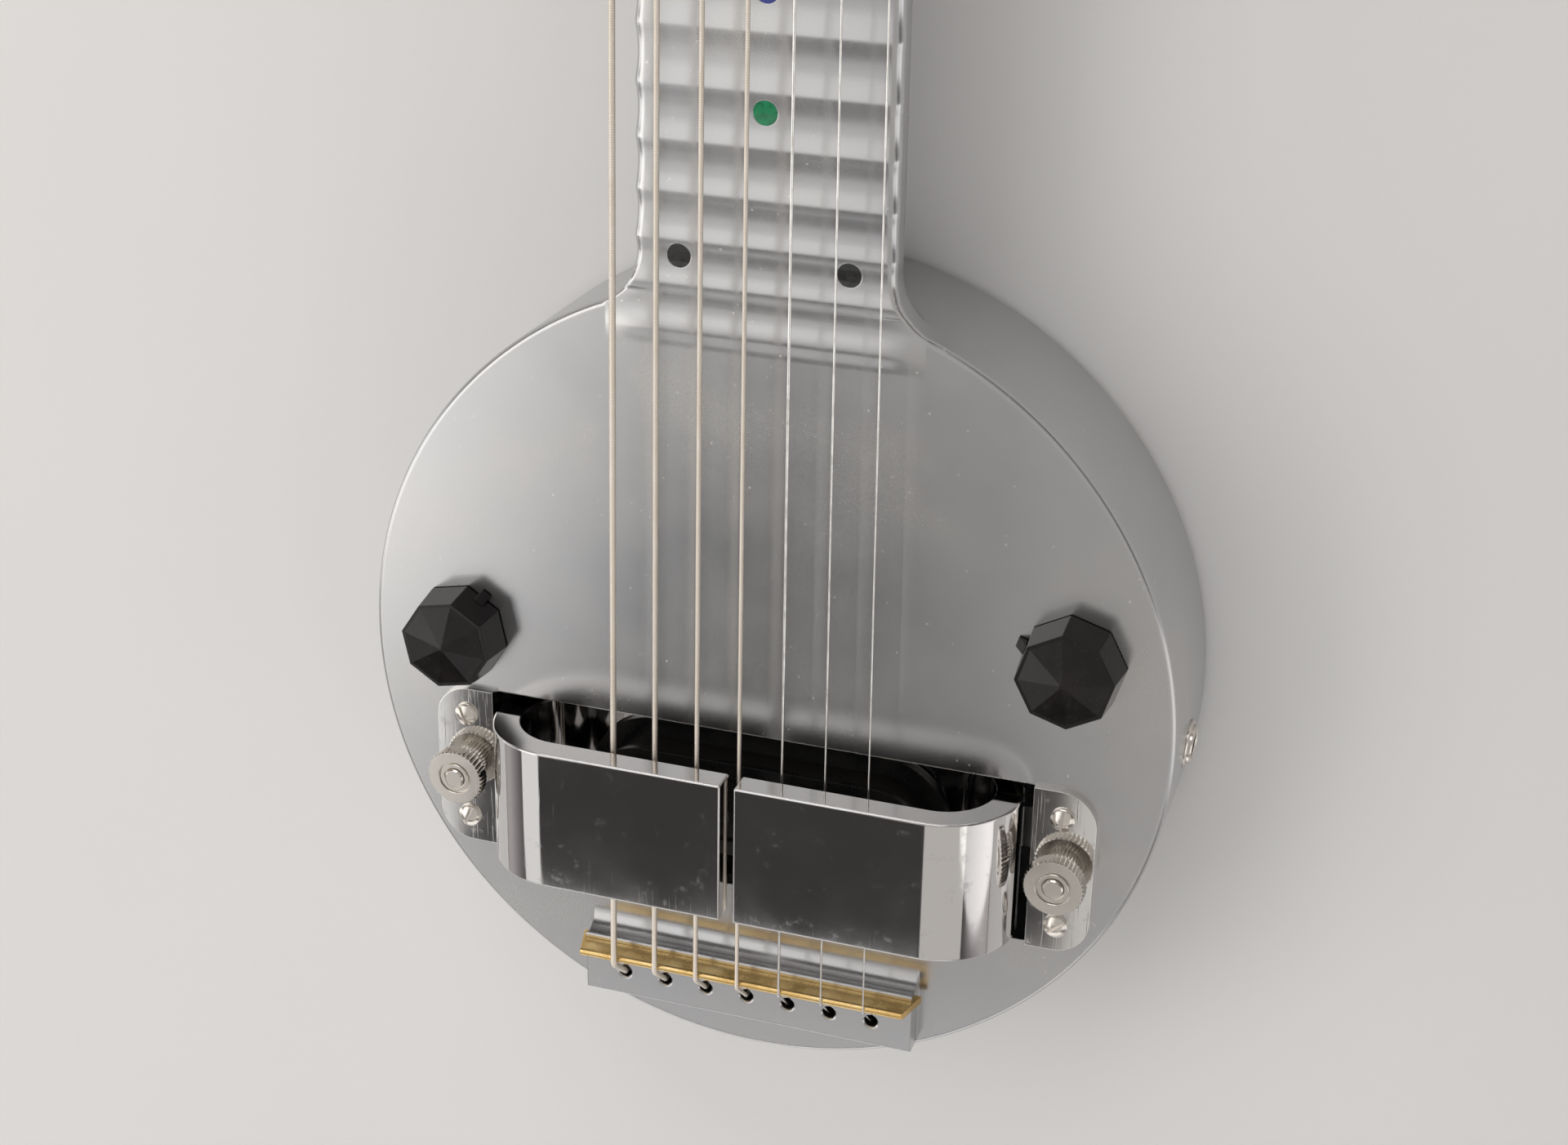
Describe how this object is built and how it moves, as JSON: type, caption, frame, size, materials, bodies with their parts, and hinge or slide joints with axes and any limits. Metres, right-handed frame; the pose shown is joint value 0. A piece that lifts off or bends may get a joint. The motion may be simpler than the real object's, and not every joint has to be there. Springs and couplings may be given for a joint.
{
  "type": "electric lap steel guitar",
  "caption": "Lap steel guitar with a round hollow cast body, long cast neck with raised frets, looped-magnet pickup, two controls and worm tuners.",
  "frame": {"origin": "middle of the body's flat back, where it rests on a surface", "axes": "+Z out of the face, +Y along the neck towards the head, +X to the treble side"},
  "size_m": [0.1842, 0.7888, 0.0606],
  "materials": {
    "cast_aluminium": "satin, lightly polished casting with fine pits",
    "brass": "polished, slightly aged",
    "wound_string": "close wound",
    "plain_string": "bright drawn wire",
    "nickel": "bright nickel plate",
    "magnet_steel": "mirror plated steel",
    "spring_steel": "plain steel",
    "pickup_plate": "satin",
    "bobbin_black": "matt black, dusty",
    "coil_wire": "enamelled copper wire under lacquer",
    "knob_black": "moulded, worn semi-gloss",
    "capacitor_wax": "waxed paper",
    "wire_cloth": "waxed cloth cover",
    "dot_black": "enamel",
    "dot_green": "enamel",
    "dot_blue": "enamel",
    "dot_red": "enamel"
  },
  "bodies": {
    "body": {"body_casting": "cast_aluminium", "back_cover": "cast_aluminium", "back_cover_screws": "nickel", "bridge_blade": "brass", "nut_blade": "brass", "string_1": "wound_string", "string_2": "wound_string", "string_3": "wound_string", "string_4": "wound_string", "string_5": "plain_string", "string_6": "plain_string", "string_7": "plain_string", "string_balls": "brass", "height_springs": "spring_steel", "bracket_left": "nickel", "bracket_right": "nickel", "bracket_screws": "nickel", "volume_pot": "nickel", "tone_pot": "nickel", "pot_nuts": "nickel", "output_jack": "nickel", "jack_nut": "nickel", "tone_capacitor": "capacitor_wax", "wiring": "wire_cloth", "dots_black": "dot_black", "dots_green": "dot_green", "dots_blue": "dot_blue", "dots_red": "dot_red", "tuner_plate_bass": "nickel", "tuner_plate_treble": "nickel", "tuner_screws": "nickel", "tuner_bushings": "nickel"},
    "pickup": {"magnet_left": "magnet_steel", "magnet_right": "magnet_steel", "magnet_screws": "nickel", "pole_pieces": "spring_steel", "coil_bobbin": "bobbin_black", "coil_winding": "coil_wire", "pickup_plate": "pickup_plate", "height_studs": "nickel"},
    "thumb_left": {"thumb_nut_left": "nickel"},
    "thumb_right": {"thumb_nut_right": "nickel"},
    "volume": {"volume_shaft": "nickel", "volume_knob": "knob_black"},
    "tone": {"tone_shaft": "nickel", "tone_knob": "knob_black"},
    "post_1": {"tuner_post_1": "nickel"},
    "key_1": {"tuner_key_1": "nickel"},
    "post_2": {"tuner_post_2": "nickel"},
    "key_2": {"tuner_key_2": "nickel"},
    "post_3": {"tuner_post_3": "nickel"},
    "key_3": {"tuner_key_3": "nickel"},
    "post_4": {"tuner_post_4": "nickel"},
    "key_4": {"tuner_key_4": "nickel"},
    "post_5": {"tuner_post_5": "nickel"},
    "key_5": {"tuner_key_5": "nickel"},
    "post_6": {"tuner_post_6": "nickel"},
    "key_6": {"tuner_key_6": "nickel"},
    "post_7": {"tuner_post_7": "nickel"},
    "key_7": {"tuner_key_7": "nickel"}
  },
  "joints": [
    {"name": "pickup_height", "type": "slide", "parent": "body", "child": "pickup", "axis": [0, 0, 1], "range_m": [-0.0006, 0.0016], "deforming": ["height_springs"]},
    {"name": "thumb_nut_left_turn", "type": "hinge", "parent": "body", "child": "thumb_left", "pos_m": [-0.0695, -0.0306, 0.046], "axis": [0, 0, 1], "range_deg": [-730, 276]},
    {"name": "thumb_nut_right_turn", "type": "hinge", "parent": "body", "child": "thumb_right", "pos_m": [0.0695, -0.0306, 0.046], "axis": [0, 0, 1], "range_deg": [-730, 276]},
    {"name": "volume_turn", "type": "hinge", "parent": "body", "child": "volume", "pos_m": [-0.0705, 0.0027, 0.046], "axis": [0, 0, 1], "range_deg": [-270, 30]},
    {"name": "tone_turn", "type": "hinge", "parent": "body", "child": "tone", "pos_m": [0.0689, 0.0181, 0.046], "axis": [0, 0, 1], "range_deg": [-150, 150]},
    {"name": "key_1_turn", "type": "hinge", "parent": "body", "child": "key_1", "pos_m": [-0.03, 0.6026, 0.0155], "axis": [-1, 0, 0], "continuous": true},
    {"name": "post_1_turn", "type": "hinge", "parent": "body", "child": "post_1", "pos_m": [-0.022, 0.5938, 0.02], "axis": [0, 0, 1], "continuous": true},
    {"name": "key_2_turn", "type": "hinge", "parent": "body", "child": "key_2", "pos_m": [-0.03, 0.6276, 0.0155], "axis": [-1, 0, 0], "continuous": true},
    {"name": "post_2_turn", "type": "hinge", "parent": "body", "child": "post_2", "pos_m": [-0.022, 0.6188, 0.02], "axis": [0, 0, 1], "continuous": true},
    {"name": "key_3_turn", "type": "hinge", "parent": "body", "child": "key_3", "pos_m": [-0.03, 0.6526, 0.0155], "axis": [-1, 0, 0], "continuous": true},
    {"name": "post_3_turn", "type": "hinge", "parent": "body", "child": "post_3", "pos_m": [-0.022, 0.6438, 0.02], "axis": [0, 0, 1], "continuous": true},
    {"name": "key_4_turn", "type": "hinge", "parent": "body", "child": "key_4", "pos_m": [-0.03, 0.6776, 0.0155], "axis": [-1, 0, 0], "continuous": true},
    {"name": "post_4_turn", "type": "hinge", "parent": "body", "child": "post_4", "pos_m": [-0.022, 0.6688, 0.02], "axis": [0, 0, 1], "continuous": true},
    {"name": "key_5_turn", "type": "hinge", "parent": "body", "child": "key_5", "pos_m": [0.03, 0.6651, 0.0155], "axis": [1, 0, 0], "continuous": true},
    {"name": "post_5_turn", "type": "hinge", "parent": "body", "child": "post_5", "pos_m": [0.022, 0.6563, 0.02], "axis": [0, 0, 1], "continuous": true},
    {"name": "key_6_turn", "type": "hinge", "parent": "body", "child": "key_6", "pos_m": [0.03, 0.6401, 0.0155], "axis": [1, 0, 0], "continuous": true},
    {"name": "post_6_turn", "type": "hinge", "parent": "body", "child": "post_6", "pos_m": [0.022, 0.6313, 0.02], "axis": [0, 0, 1], "continuous": true},
    {"name": "key_7_turn", "type": "hinge", "parent": "body", "child": "key_7", "pos_m": [0.03, 0.6151, 0.0155], "axis": [1, 0, 0], "continuous": true},
    {"name": "post_7_turn", "type": "hinge", "parent": "body", "child": "post_7", "pos_m": [0.022, 0.6063, 0.02], "axis": [0, 0, 1], "continuous": true}
  ],
  "couplings": [
    {"joint": "thumb_nut_left_turn", "follows": "pickup_height", "rad_per_m": -7915.8},
    {"joint": "thumb_nut_right_turn", "follows": "pickup_height", "rad_per_m": -7915.8},
    {"joint": "post_1_turn", "follows": "key_1_turn", "ratio": 0.071429},
    {"joint": "post_2_turn", "follows": "key_2_turn", "ratio": 0.071429},
    {"joint": "post_3_turn", "follows": "key_3_turn", "ratio": 0.071429},
    {"joint": "post_4_turn", "follows": "key_4_turn", "ratio": 0.071429},
    {"joint": "post_5_turn", "follows": "key_5_turn", "ratio": -0.071429},
    {"joint": "post_6_turn", "follows": "key_6_turn", "ratio": -0.071429},
    {"joint": "post_7_turn", "follows": "key_7_turn", "ratio": -0.071429}
  ]
}
